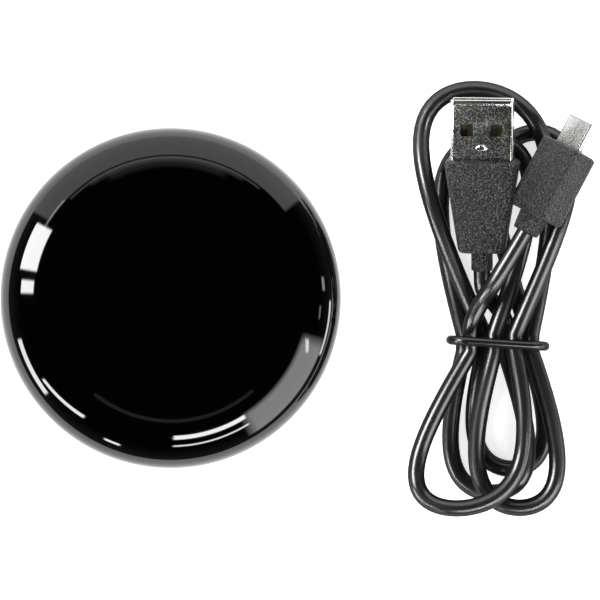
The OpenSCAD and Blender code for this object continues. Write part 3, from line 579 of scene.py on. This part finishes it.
@dataclass
class Studio:
    """The camera, the pale floor and the surroundings that light the pieces and show in their gloss.

    The room is brightest below and fades to a dark ceiling at dark_above degrees. Directions are
    counted round from wrap_at degrees, so that no softbox is cut.
    """

    width_mm: float = 116.12
    centre_mm: Point = (25.04, -0.35, 10.5)
    distance: float = 1.4
    sensor_mm: float = 36.0
    clip: Pair = (0.01, 20.0)
    floor_half: float = 4.0
    floor_drop: float = 0.00004
    floor_grey: float = 0.8
    floor_glow: float = 0.62
    dark_above: float = 35.0
    fade_deg: float = 60.0
    room_level: float = 0.25
    wrap_at: float = 20.0
    boxes: tuple[Softbox, ...] = (
        Softbox((38, 148), (-4, 45), 1.55, soft=1.4),
        Softbox((52, 136), (47, 49.5), 0.9, soft=1.0),
        Softbox((60, 126), (47, 52.5), 0.5, soft=2.5),
        Softbox((68, 118), (47, 57), 0.3, soft=4.0),
        Softbox((138, 152), (42.5, 44.8), 3.8),
        Softbox((151, 169), (28, 53), 23),
        Softbox((173, 178), (35, 52), 22),
        Softbox((195, 217), (14, 25), 18),
        Softbox((212, 233), (34, 39), 20, slant=0.33),
        Softbox((244, 250), (20, 25), 20),
        Softbox((270, 301), (47.5, 52), 22),
        Softbox((270, 301), (37, 39.5), 18),
        Softbox((230, 310), (63, 65), 0.35),
        Softbox((301, 343), (13, 52), 5.0, soft=5.0),
        Softbox((339, 359), (5, 11), 14),
        Softbox((363, 368), (24, 30), 5),
        Softbox((352, 357), (33, 36), 3),
        Softbox((338, 343), (41, 46), 12, slant=1.2),
    )

    def build(self) -> None:
        """Makes the camera, floor and surroundings."""
        self.camera()
        self.floor()
        self.surroundings()

    def camera(self) -> None:
        """Puts the camera straight above the table, as in the photograph."""
        data = bpy.data.cameras.new("camera")
        data.sensor_width = self.sensor_mm
        data.lens = self.sensor_mm * self.distance / (self.width_mm * MM)
        data.clip_start, data.clip_end = self.clip
        camera = bpy.data.objects.new("camera", data)
        bpy.context.scene.collection.objects.link(camera)
        x, y, z = (c * MM for c in self.centre_mm)
        camera.location = (x, y, z + self.distance)
        bpy.context.scene.camera = camera

    def floor(self) -> None:
        """Lays a pale floor that keeps the object's shadow and glows where it is seen."""
        mesh = bpy.data.meshes.new("floor")
        s, z = self.floor_half, -self.floor_drop
        mesh.from_pydata([(-s, -s, z), (s, -s, z), (s, s, z), (-s, s, z)], [], [(0, 1, 2, 3)])
        floor = bpy.data.objects.new("floor", mesh)
        bpy.context.scene.collection.objects.link(floor)
        material = bpy.data.materials.new("floor_white")
        material.use_nodes = True
        tree = material.node_tree
        tree.nodes.clear()
        seen = self.seen(tree, glossy=True)
        grey = self.floor_grey
        card = add_node(tree, "ShaderNodeBsdfDiffuse", None, {"Color": (grey, grey, grey, 1)})
        glow = add_node(tree, "ShaderNodeEmission", None,
                        {"Color": (1, 1, 1, 1), "Strength": seen * self.floor_glow})
        both = add_node(tree, "ShaderNodeAddShader", None, {0: card.outputs[0], 1: glow.outputs[0]})
        add_node(tree, "ShaderNodeOutputMaterial", None, {"Surface": both.outputs[0]})
        mesh.materials.append(material)

    @staticmethod
    def seen(tree: bpy.types.NodeTree, glossy: bool) -> Value:
        """Marks the rays that see the pale background.

        Args:
            tree: the node tree.
            glossy: whether reflections see it too.

        Returns:
            1 for those rays.
        """
        path = add_node(tree, "ShaderNodeLightPath")
        mark = Value(tree, path.outputs["Is Camera Ray"]) + Value(tree, path.outputs["Is Transmission Ray"])
        if glossy:
            mark = mark + Value(tree, path.outputs["Is Glossy Ray"])
        return mark.clamped()

    def surroundings(self) -> None:
        """Paints the studio: a dim room, a dark ceiling and shining softboxes for the gloss.

        Diffuse light sees a plain white room, and so does the camera.
        """
        world = bpy.data.worlds.new("studio")
        world.use_nodes = True
        bpy.context.scene.world = world
        tree = world.node_tree
        tree.nodes.clear()
        way = add_node(tree, "ShaderNodeSeparateXYZ", None,
                       {0: add_node(tree, "ShaderNodeTexCoord").outputs["Generated"]})
        x, y, z = (Value(tree, way.outputs[k]) for k in range(3))
        around = y.math("ARCTAN2", x) * (180 / math.pi)
        around = around + around.math("LESS_THAN", self.wrap_at) * 360.0
        above = z.math("ARCSINE") * (180 / math.pi)
        light = (self.dark_above - above).math("MULTIPLY", 1 / self.fade_deg, clamp=True) * self.room_level
        for box in self.boxes:
            low, high = box.around
            shift = (around - (low + high) / 2) * box.slant
            wide = around.window(low, high, box.soft)
            tall = (above - shift).window(*box.above, box.soft)
            light = light + wide * tall * box.level
        path = add_node(tree, "ShaderNodeLightPath")
        diffuse = Value(tree, path.outputs["Is Diffuse Ray"])
        light = light * (1.0 - diffuse) + diffuse
        room = add_node(tree, "ShaderNodeBackground", None, {"Color": (1, 1, 1, 1), "Strength": light})
        plain = add_node(tree, "ShaderNodeBackground", None, {"Color": (1, 1, 1, 1), "Strength": 1.0})
        mix = add_node(tree, "ShaderNodeMixShader", None,
                       {0: self.seen(tree, glossy=False), 1: room.outputs[0], 2: plain.outputs[0]})
        add_node(tree, "ShaderNodeOutputWorld", None, {"Surface": mix.outputs[0]})


# Cable


@dataclass(frozen=True)
class CordEnd:
    """Where the cable meets a plug, and the way into the plug."""

    place: Point
    way: Point


@dataclass(frozen=True)
class Lobe:
    """Half a loop of the wound cable, from the tied waist out and back.

    First and last are its places under the tie, counted in pitches. Reach is its length, shift and
    swell lean and widen it, and layers are its levels along the way.
    """

    side: int
    first: float
    last: float
    reach: float
    shift: float
    swell: float
    layers: tuple[float, ...]


@dataclass
class Cable:
    """The power cable: one length wound to and fro through its tie, with a plug at each end."""

    diameter: float = 3.3
    waist: Pair = (63.4, -8.7)
    pitch: float = 3.8
    straight: float = 1.7
    layer: float = 3.75
    rest: float = 0.05
    tie_lift: float = 1.95
    full_share: float = 0.03
    sink_power: int = 8
    steps: int = 44
    free_steps: int = 10
    end_pull: float = 3.0
    to_usb_a: tuple[Point, ...] = ((64.8, -4.2, 3.75), (62.9, -1.2, 5.5), (60.7, 1.6, 7.7))
    to_micro: tuple[Point, ...] = ((58.7, -3.7, 10), (60.4, -0.4, 11.2), (63, 3.6, 13.4))
    tie_size: Pair = (20, 13.6)
    tie_thick: float = 1.8
    tie_corner: float = 3.0
    tie_level: float = 6.8
    tie_slope: float = -3.8
    lobes: tuple[Lobe, ...] = (
        Lobe(-1, 0.4, -1.7, 27.5, 1.4, -8.8, (0, 0.9, 1.1, 0.05, 0, 0, 0)),
        Lobe(1, -1.7, -0.2, 37.8, 2, 13.1, (0, 0, 0.3, 1.1, 0.9, 1.2, 1.5)),
        Lobe(-1, -0.2, 1.7, 30.3, 1.4, 10.3, (1.5, 1.2, 1.25, 1.25, 1.35, 1.2, 1)),
        Lobe(1, 1.7, -0.7, 47.6, -6.5, -17.9, (1, 0.2, 1.4, 1.2, 1.2, 1.9, 0.55)),
        Lobe(-1, -0.7, 1.6, 22.8, 1.1, 7, (0.55, 0, 0, 0, 0, 0, 0)),
        Lobe(1, 1.6, 0.85, 39.3, 3, 16.3, (0, 0, 0, 0, 0.2, 2.55, 1.65)),
        Lobe(-1, 0.85, -1.4, 30.3, -7, -13.6, (1.65, 2.1, 2.3, 2.3, 2.05, 1.6, 1.3)),
    )

    def lobe_points(self, lobe: Lobe) -> list[Point]:
        """Draws one lobe.

        Args:
            lobe: the lobe.

        Returns:
            Its points in millimetres.
        """
        points = []
        for i in range(self.steps + 1):
            t = math.pi * i / self.steps
            a, b = (self.waist[0] + p * self.pitch for p in (lobe.first, lobe.last))
            full = (math.sin(t) + self.full_share * math.sin(3 * t)) / (1 - self.full_share)
            x = ((a + b) / 2 + lobe.shift * math.sin(t)
                 - math.cos(t) * ((b - a) / 2 + lobe.swell * math.sin(t)))
            y = self.waist[1] + lobe.side * (self.straight + lobe.reach * full)
            u = (len(lobe.layers) - 1) * i / self.steps
            k = min(len(lobe.layers) - 2, int(u))
            f = (u - k) ** 2 * (3 - 2 * (u - k))
            level = lobe.layers[k] * (1 - f) + lobe.layers[k + 1] * f
            lift = self.tie_lift * math.cos(t) ** self.sink_power
            z = self.diameter / 2 + self.rest + lift + self.layer * level
            points.append((x, y, z))
        return points

    def hank(self) -> list[Point]:
        """Returns the wound stretch's points in millimetres, with its straight ends under the tie."""
        body = [p for lobe in self.lobes for p in self.lobe_points(lobe)]
        top = self.waist[1] + self.straight
        return [(body[0][0], top, body[0][2]), *body, (body[-1][0], top, body[-1][2])]

    def free_end(self, start: Point, between: tuple[Point, ...], end: CordEnd) -> list[Point]:
        """Draws a free end of the cable, from the waist to its plug.

        Args:
            start: where it leaves the waist.
            between: the places it passes.
            end: where it meets the plug.

        Returns:
            Its points in millimetres.
        """
        pull = tuple(self.end_pull * c for c in end.way)
        return smooth([start, *between, end.place], (0, self.end_pull, 0), pull, self.free_steps)

    def route(self, usb_a: CordEnd, micro: CordEnd) -> list[Point]:
        """Joins the wound stretch to both plugs.

        Args:
            usb_a: where the cable meets the USB-A plug.
            micro: where the cable meets the micro-USB plug.

        Returns:
            The whole route in millimetres.
        """
        hank = self.hank()
        lead = self.free_end(hank[0], self.to_usb_a, usb_a)
        tail = self.free_end(hank[-1], self.to_micro, micro)
        return [*reversed(lead[1:]), *hank, *tail[1:]]

    def build(self, usb_a: CordEnd, micro: CordEnd, on_it: list[str]) -> None:
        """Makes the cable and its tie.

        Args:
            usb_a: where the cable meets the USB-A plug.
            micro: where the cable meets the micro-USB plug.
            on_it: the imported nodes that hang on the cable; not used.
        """
        route = self.route(usb_a, micro)
        data = bpy.data.curves.new("power_cable", "CURVE")
        data.dimensions = "3D"
        data.bevel_depth = self.diameter / 2 * MM
        data.bevel_resolution = 6
        data.use_fill_caps = True
        data.twist_mode = "MINIMUM"
        spline = data.splines.new("POLY")
        spline.points.add(len(route) - 1)
        for point, place in zip(spline.points, route):
            point.co = (*(c * MM for c in place), 1.0)
        spline.use_smooth = True
        data.materials.append(CABLE_SATIN.make())
        cable = bpy.data.objects.new("power_cable", data)
        bpy.context.scene.collection.objects.link(cable)
        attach(cable, Body.CABLE.value)
        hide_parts("cable_hank", "cable_usb_a_end", "cable_micro_end")
        tuple(c * MM for c in route[0])
        self.tie()

    def tie(self) -> None:
        """Makes the round wire tie that holds the strands at their waist."""
        thick = self.tie_thick
        outline = rounded_outline(*(side - thick for side in self.tie_size), self.tie_corner, 12)
        rings = []
        n = len(outline)
        for i in range(n + 1):
            x, z = outline[i % n]
            ax, az = outline[(i + 1) % n]
            bx, bz = outline[(i - 1) % n]
            dx, dz = ax - bx, az - bz
            long = math.hypot(dx, dz)
            nx, nz = dz / long, -dx / long
            rings.append([(x + u * nx, v, z + u * nz) for u, v in circle(thick / 2, 20)])
        mesh = skin("cable_tie_wire", rings, caps=False)
        place = (Matrix.Translation((*self.waist, self.tie_level))
                 @ Matrix.Rotation(math.radians(self.tie_slope), 4, "Z"))
        tie = as_object("cable_tie_wire", placed(mesh, place), TIE_SATIN, Body.CABLE, 60)
        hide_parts("cable_tie")


def smooth(points: list[Point], first: Point, last: Point, steps: int) -> list[Point]:
    """Draws a smooth curve through points, straight at both ends.

    Args:
        points: the points it passes through.
        first: its way and speed at the start.
        last: its way and speed at the end.
        steps: steps between two points.

    Returns:
        The curve's points.
    """
    start = tuple(a - b for a, b in zip(points[0], first))
    end = tuple(a + b for a, b in zip(points[-1], last))
    q = [start, *points, end]
    curve = []
    for i in range(1, len(points)):
        for k in range(steps):
            t = k / steps
            curve.append(tuple(
                (2 * here + (there - before) * t
                 + (2 * before - 5 * here + 4 * there - after) * t * t
                 + (3 * here - before - 3 * there + after) * t ** 3) / 2
                for before, here, there, after in zip(*q[i - 1:i + 3])))
    return [*curve, points[-1]]


# Housing


@dataclass
class Housing:
    """The two covers of the hub, with the opening for the socket and the bore for the button."""

    radius: float = 33.0
    split: float = 10.5
    dome_height: float = 10.5
    dome_power: float = 3.0
    base_power: float = 2.2
    flat_radius: float = 24.0
    base_gap: float = 0.9
    base_floor: float = 3.2
    wall: float = 1.8
    steps: int = 80
    seam_trim: float = 0.12
    seam_edge: Pair = (0.03, 0.05)
    recess: Pair = (23.15, 1.4)
    pad: tuple[Pair, ...] = ((0, 0), (22.2, 0), (22.6, 0.08), (22.9, 0.3), (23, 0.6), (23, 1.4), (0, 1.4))
    port: tuple[float, float, float] = (8.1, 3.1, 0.7)
    port_level: float = 8.05
    port_run: Pair = (26, 34)
    bore_radius: float = 1.7
    bore_level: float = 7.8
    bore_run: Pair = (25, 35)
    button_deg: float = 116.0

    def quarter(self, rx: float, ry: float, power: float) -> list[Pair]:
        """Draws a quarter of a superellipse from its rim to its crown.

        Args:
            rx: its half width in millimetres.
            ry: its height in millimetres.
            power: its roundness, where 2 is a plain ellipse.

        Returns:
            Its points in millimetres.
        """
        angles = [math.pi / 2 * i / self.steps for i in range(self.steps + 1)]
        return [(rx * max(0.0, math.cos(a)) ** (2 / power), ry * math.sin(a) ** (2 / power))
                for a in angles]

    def openings(self) -> list[bpy.types.Mesh]:
        """Returns the cutters for the power socket and the reset button."""
        outline = rounded_outline(*self.port)
        slot = skin("slot", [[(x, y, self.port_level + z) for x, z in outline] for y in self.port_run])
        ring = circle(self.bore_radius, 48)
        bore = skin("bore", [[(r, y, self.bore_level + z) for y, z in ring] for r in self.bore_run])
        return [slot, placed(bore, Matrix.Rotation(math.radians(self.button_deg), 4, "Z"))]

    def seam(self, way: int) -> list[Pair]:
        """Returns the rounded edge at the seam, of the dome for way 1 and of the base for way -1."""
        inset, rise = self.seam_edge
        return [(self.radius - self.seam_trim, self.split), (self.radius - inset, self.split + way * rise)]

    def build(self) -> None:
        """Makes both covers and the foot."""
        inner = self.radius - self.wall
        outside = [(r, self.split + z) for r, z in
                   self.quarter(self.radius, self.dome_height, self.dome_power)]
        outside = [(r, z) for r, z in outside if z > self.split + self.seam_trim or r < self.radius - 1]
        inside = [(r, self.split + z) for r, z in
                  self.quarter(inner, self.dome_height - self.wall, self.dome_power)]
        dome = lathe("dome", [*reversed(inside), *self.seam(1), *outside])
        shell = as_object("dome", carve(dome, self.openings()), DOME_GLOSS, Body.HUB, 30)
        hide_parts("top_shell")
        curve = [(self.flat_radius + r, self.split - z) for r, z in
                 self.quarter(self.radius - self.flat_radius, self.split - self.base_gap, self.base_power)]
        curve = [*self.seam(-1), *[(r, z) for r, z in curve if z < self.split - self.seam_trim]]
        cavity = [(self.flat_radius + r, self.split - z) for r, z in
                  self.quarter(inner - self.flat_radius, self.split - self.base_floor, self.base_power)]
        side, top = self.recess
        bowl = [(0, self.base_floor), *reversed(cavity), *curve, (side, self.base_gap), (side, top),
                (0, top)]
        bowl_mesh = carve(lathe("base_cover", bowl), self.openings())
        cover = as_object("base_cover", bowl_mesh, COVER_BLACK, Body.HUB, 30)
        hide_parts("bottom_cover")
        foot = as_object("foot_disc", lathe("foot_disc", list(self.pad)), FOOT_RUBBER, Body.HUB)
        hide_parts("foot_pad")


# Plugs


def moulded(name: str, rings: list[list[Point]], place: Matrix) -> bpy.types.Object:
    """Makes a moulded piece of a plug.

    Args:
        name: the piece's name.
        rings: its rings in the plug's own frame, in millimetres.
        place: the plug's own frame.

    Returns:
        The piece.
    """
    return as_object(name, placed(skin(name, rings), place), GRIP_SPARK, Body.CABLE, 50)


@dataclass
class UsbAPlug:
    """The USB-A plug: a pressed steel shell in a tapered moulded grip."""

    origin: Point = (60.3, 26.7, 11.6)
    pitch: float = 8.0
    roll: float = -6.0
    shell: tuple[float, float, float] = (12.0, 4.5, 11.9)
    sheet: float = 0.3
    lip: float = 0.95
    foot: float = 0.3
    # width of the painted highlight along each side edge
    edge: float = 0.58
    corner: float = 0.6
    window_x: float = 2.85
    window_y: Pair = (4.8, 7.2)
    window_half: float = 1.2
    window_reach: float = 4.0
    dimple: Pair = (1.15, 0.62)
    dimple_y: float = 2.6
    grip: tuple[float, float, float] = (14.6, 7.6, 17.95)
    grip_corner: float = 1.6
    tail: Pair = (8.9, 6.4)
    sleeve: Pair = (4.2, 3.6)

    @property
    def place(self) -> Matrix:
        """The plug's own frame, with +Y to its mouth."""
        return (Matrix.Translation(self.origin) @ Matrix.Rotation(math.radians(self.pitch), 4, "X")
                @ Matrix.Rotation(math.radians(self.roll), 4, "Y"))

    @property
    def end(self) -> CordEnd:
        """Where the cable meets the plug.

        Returns:
            The place, and the way into the plug.
        """
        back = self.grip[2] + self.sleeve[1]
        x, y, z = self.origin
        c, s = math.cos(math.radians(self.pitch)), math.sin(math.radians(self.pitch))
        return CordEnd((x, y - back * c, z - back * s), (0, c, s))

    def build(self) -> None:
        """Makes the grip, the sleeve and the shell."""
        self.make_grip()
        self.make_shell()
        dress("usb_a_tongue", DARK_NYLON_AND_SHADE)
        dress("usb_a_contacts", GOLD_DARKENED_FOR_SHADE)

    def make_grip(self) -> None:
        """Makes the moulded grip with rounded ends, and the short sleeve behind it."""
        (w, h, length), (tw, th) = self.grip, self.tail
        ends = ((0, 0.55), (0.008, 0.25), (0.024, 0.06), (0.045, 0), (0.25, 0), (0.5, 0), (0.75, 0),
                (0.95, 0), (0.975, 0.08), (0.992, 0.3), (1, 0.65))
        rings = []
        for share, inset in ends:
            rw, rh = w + (tw - w) * share - 2 * inset, h + (th - h) * share - 2 * inset
            rings.append([(x, -length * share, z) for x, z in rounded_outline(rw, rh, self.grip_corner)])
        grip = moulded("usb_a_grip", rings, self.place)
        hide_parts("usb_a_overmould")
        d, long = self.sleeve
        turns = ((0, d / 2), (long - 0.4, d / 2), (long - 0.12, d / 2 - 0.1), (long, d / 2 - 0.3))
        rings = [[(x, -length - y, z) for x, z in circle(r, 40)] for y, r in turns]
        sleeve = moulded("usb_a_sleeve", rings, self.place)
        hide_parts("usb_a_relief")

    def make_shell(self) -> None:
        """Makes the pressed steel shell with its windows and the stamped dimple, and paints highlights on
        its edges.
        """
        w, h, length = self.shell
        t = self.sheet
        outer = rounded_outline(w, h, self.corner, 6)
        inner = rounded_outline(w - 2 * t, h - 2 * t, 0.3, 6)
        flare = rounded_outline(w - 0.16, h - 0.16, 0.55, 6)
        pinch = rounded_outline(w - 0.1, h - 0.14, 0.55, 6)
        throat = rounded_outline(w - 2 * t + 0.2, h - 2 * t + 0.2, 0.35, 6)
        # the mouth is flared, and a shallow groove runs round behind its lip
        neck = length - self.lip
        rings = [[(x, y, z) for x, z in outline] for outline, y in
                 ((inner, 0), (inner, length - 0.25), (throat, length), (flare, length),
                  (outer, length - 0.12), (outer, neck), (pinch, neck - 0.1), (pinch, neck - 0.25),
                  (outer, neck - 0.4), (outer, self.foot), (outer, 0), (inner, 0))]
        mesh = skin("usb_a_can", rings, caps=False)
        near, far = self.window_y
        half, reach = self.window_half, self.window_reach
        cuts = [box_mesh("window", (x - half, near, -reach), (x + half, far, reach))
                for x in (-self.window_x, self.window_x)]
        mesh = bevelled(carve(mesh, cuts), 0.04, 2)
        # painted highlights: faces near the side edges, at the lip and at the foot get bright steel
        edges = [abs(f.center.x) > (w / 2 - self.edge) * MM or f.center.y > (length - self.lip) * MM
                 or abs(f.center.y) < self.foot / 2 * MM for f in mesh.polygons]
        can = as_object("usb_a_can", placed(mesh, self.place), PLUG_STEEL, Body.CABLE, 40)
        can.data.materials.append(BRIGHT_STEEL_AND_HIGHLIGHT.make())
        for face, bright in zip(can.data.polygons, edges):
            face.material_index = int(bright)
        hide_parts("usb_a_shell")
        self.make_dimple(h / 2)

    def make_dimple(self, level: float) -> None:
        """Makes the stamped dimple with its raised edge, all in bright steel as a painted highlight.

        Args:
            level: its height above the plug's middle in millimetres.
        """
        wide, long = self.dimple
        mid = self.dimple_y
        dimple = [(wide * math.cos(a), mid + long * math.sin(a)) for a in
                  (2 * math.pi * k / 40 for k in range(40))]
        steps = ((1.0, 0.0), (0.93, 0.07), (0.8, 0.09), (0.7, 0.03), (0.35, -0.02), (0.04, -0.03))
        rings = [[(x * s, mid + (y - mid) * s, level + z) for x, y in dimple] for s, z in steps]
        mesh = placed(skin("usb_a_dimple", rings), self.place)
        # the whole dimple is bright steel, a painted highlight
        as_object("usb_a_dimple", mesh, BRIGHT_STEEL_AND_HIGHLIGHT, Body.CABLE, 60)


@dataclass
class MicroPlug:
    """The micro-USB plug: a thin steel tip in a rounded grip with a tapered neck."""

    origin: Point = (77.15, 29.05, 14.4)
    yaw: float = -28.0
    roll: float = -47.0
    grip: tuple[float, float, float] = (10.3, 6.4, 14.8)
    corner: float = 0.8
    neck: tuple[float, float, float] = (5.8, 5.1, 3.7)
    tip: tuple[float, float, float] = (6.85, 1.8, 5.8)
    sheet: float = 0.25
    slant: float = 0.6
    seam: float = 0.35
    groove: float = 0.12
    rim: float = 0.18

    @property
    def place(self) -> Matrix:
        """The plug's own frame, with +Y to its tip."""
        return (Matrix.Translation(self.origin) @ Matrix.Rotation(math.radians(self.yaw), 4, "Z")
                @ Matrix.Rotation(math.radians(self.roll), 4, "Y"))

    @property
    def end(self) -> CordEnd:
        """Where the cable meets the plug.

        Returns:
            The place, and the way into the plug.
        """
        back = self.grip[2] + self.neck[2]
        x, y, z = self.origin
        c, s = math.cos(math.radians(-self.yaw)), math.sin(math.radians(-self.yaw))
        return CordEnd((x - back * s, y - back * c, z), (s, c, 0))

    def build(self) -> None:
        """Makes the grip, the neck and the tip."""
        w, h, length = self.grip
        ends = ((0, 0.6), (0.12, 0.3), (0.35, 0.08), (0.7, 0), (length / 2, 0), (length - 0.7, 0),
                (length - 0.35, 0.08), (length - 0.12, 0.3), (length, 0.6))
        rings = [[(x, -y, z) for x, z in rounded_outline(w - 2 * inset, h - 2 * inset, self.corner)]
                 for y, inset in ends]
        grip = moulded("micro_grip", rings, self.place)
        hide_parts("micro_plug_overmould")
        d0, d1, long = self.neck
        turns = ((0, d0 / 2), (long - 0.5, d1 / 2 + 0.04), (long - 0.15, d1 / 2 - 0.05),
                 (long, d1 / 2 - 0.3))
        rings = [[(x, -length - y, z) for x, z in circle(r, 40)] for y, r in turns]
        neck = moulded("micro_neck", rings, self.place)
        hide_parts("micro_plug_relief")
        self.make_tip()
        dress("micro_plug_tongue", NYLON_BLACK)
        dress("micro_plug_latches", BRIGHT_STEEL_AND_HIGHLIGHT)

    def tip_outline(self, wide: float, high: float) -> list[Pair]:
        """Draws the tip's outline, with slanted lower corners and the seam's groove on top.

        Args:
            wide: its width in millimetres.
            high: its height in millimetres.

        Returns:
            Its points in millimetres.
        """
        side, top, seam, rim = wide / 2, high / 2, wide / 2 - self.seam, wide / 2 - self.rim
        g = self.groove
        return [(-rim, top), (-side, top), (-side, 0), (-side + self.slant, -top),
                (side - self.slant, -top), (side, 0), (side, top), (rim, top), (seam + g, top),
                (seam + g / 2, top - g), (seam - g / 2, top - g), (seam - g, top)]

    def make_tip(self) -> None:
        """Makes the thin steel tip, with painted shade in its seam's groove and round its upper face."""
        w, h, length = self.tip
        inner, outer = self.tip_outline(w - 2 * self.sheet, h - 2 * self.sheet), self.tip_outline(w, h)
        rings = [[(x, y, z) for x, z in outline] for outline, y in
                 ((inner, 0), (inner, length), (outer, length), (outer, length - self.rim), (outer, 0),
                  (inner, 0))]
        mesh = bevelled(skin("micro_tip", rings, caps=False), 0.07, 2, 25)
        # painted shade: dark nylon on the faces in the seam's groove and round the edge of the upper face
        painted_shade = []
        for face in mesh.polygons:
            x, y, z = (c / MM for c in face.center)
            in_groove = abs(x - (w / 2 - self.seam)) < self.groove - 0.01
            on_rim = abs(x) > w / 2 - self.rim or y > length - self.rim
            painted_shade.append(z > h / 2 - self.groove - 0.02 and (in_groove or on_rim))
        tip = as_object("micro_tip", placed(mesh, self.place), TIP_STEEL, Body.CABLE, 40)
        tip.data.materials.append(DARK_NYLON_AND_SHADE.make())
        for face, dark in zip(tip.data.polygons, painted_shade):
            face.material_index = int(dark)
        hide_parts("micro_plug_shell")


# Insides


@dataclass
class Insides:
    """The circuit board, emitters and small parts inside the hub."""

    finishes: dict[str, Finish] = field(default_factory=lambda: {
        "case_screws": ZINC, "main_pcb": BOARD_GREEN, "wifi_module": BOARD_BLUE, "wifi_shield": TIN_CAN,
        **{f"ir_led_{n}": EMITTER_RESIN for n in (1, 2, 3, 4, 5, 6, "top")},
        "ir_receiver": RECEIVER_RESIN, "status_led": CHIP_LENS, "light_pipe": LIGHT_GUIDE,
        "usb_receptacle_shell": SOCKET_STEEL, "usb_receptacle_tongue": NYLON_BLACK,
        "reset_switch": SWITCH_BLACK, "reset_button": BUTTON_BLACK, "switch_plunger": PLUNGER_WHITE,
        "regulator": CHIP_BLACK, "capacitor": CAN_ALUMINIUM, "driver_transistor_1": CHIP_BLACK,
        "driver_transistor_2": CHIP_BLACK})

    def build(self) -> None:
        """Dresses every inner node."""
        for node, finish in self.finishes.items():
            dress(node, finish)
        log.info("dressed %d inner nodes", len(self.finishes))


def main() -> None:
    """Builds the picture: studio, cable, hub and plugs."""
    logging.basicConfig(level=logging.INFO, format="%(name)s: %(message)s")
    bpy.context.scene.view_settings.view_transform = "Standard"
    Studio().build()
    usb_a, micro = UsbAPlug(), MicroPlug()
    on_it = ["usb_a_shell", "usb_a_tongue", "usb_a_contacts", "usb_a_overmould", "usb_a_relief",
             "micro_plug_shell", "micro_plug_latches", "micro_plug_tongue", "micro_plug_overmould",
             "micro_plug_relief", "cable_tie"]
    Cable().build(usb_a.end, micro.end, on_it)
    Housing().build()
    usb_a.build()
    micro.build()
    Insides().build()


if __name__ == "__main__":
    main()
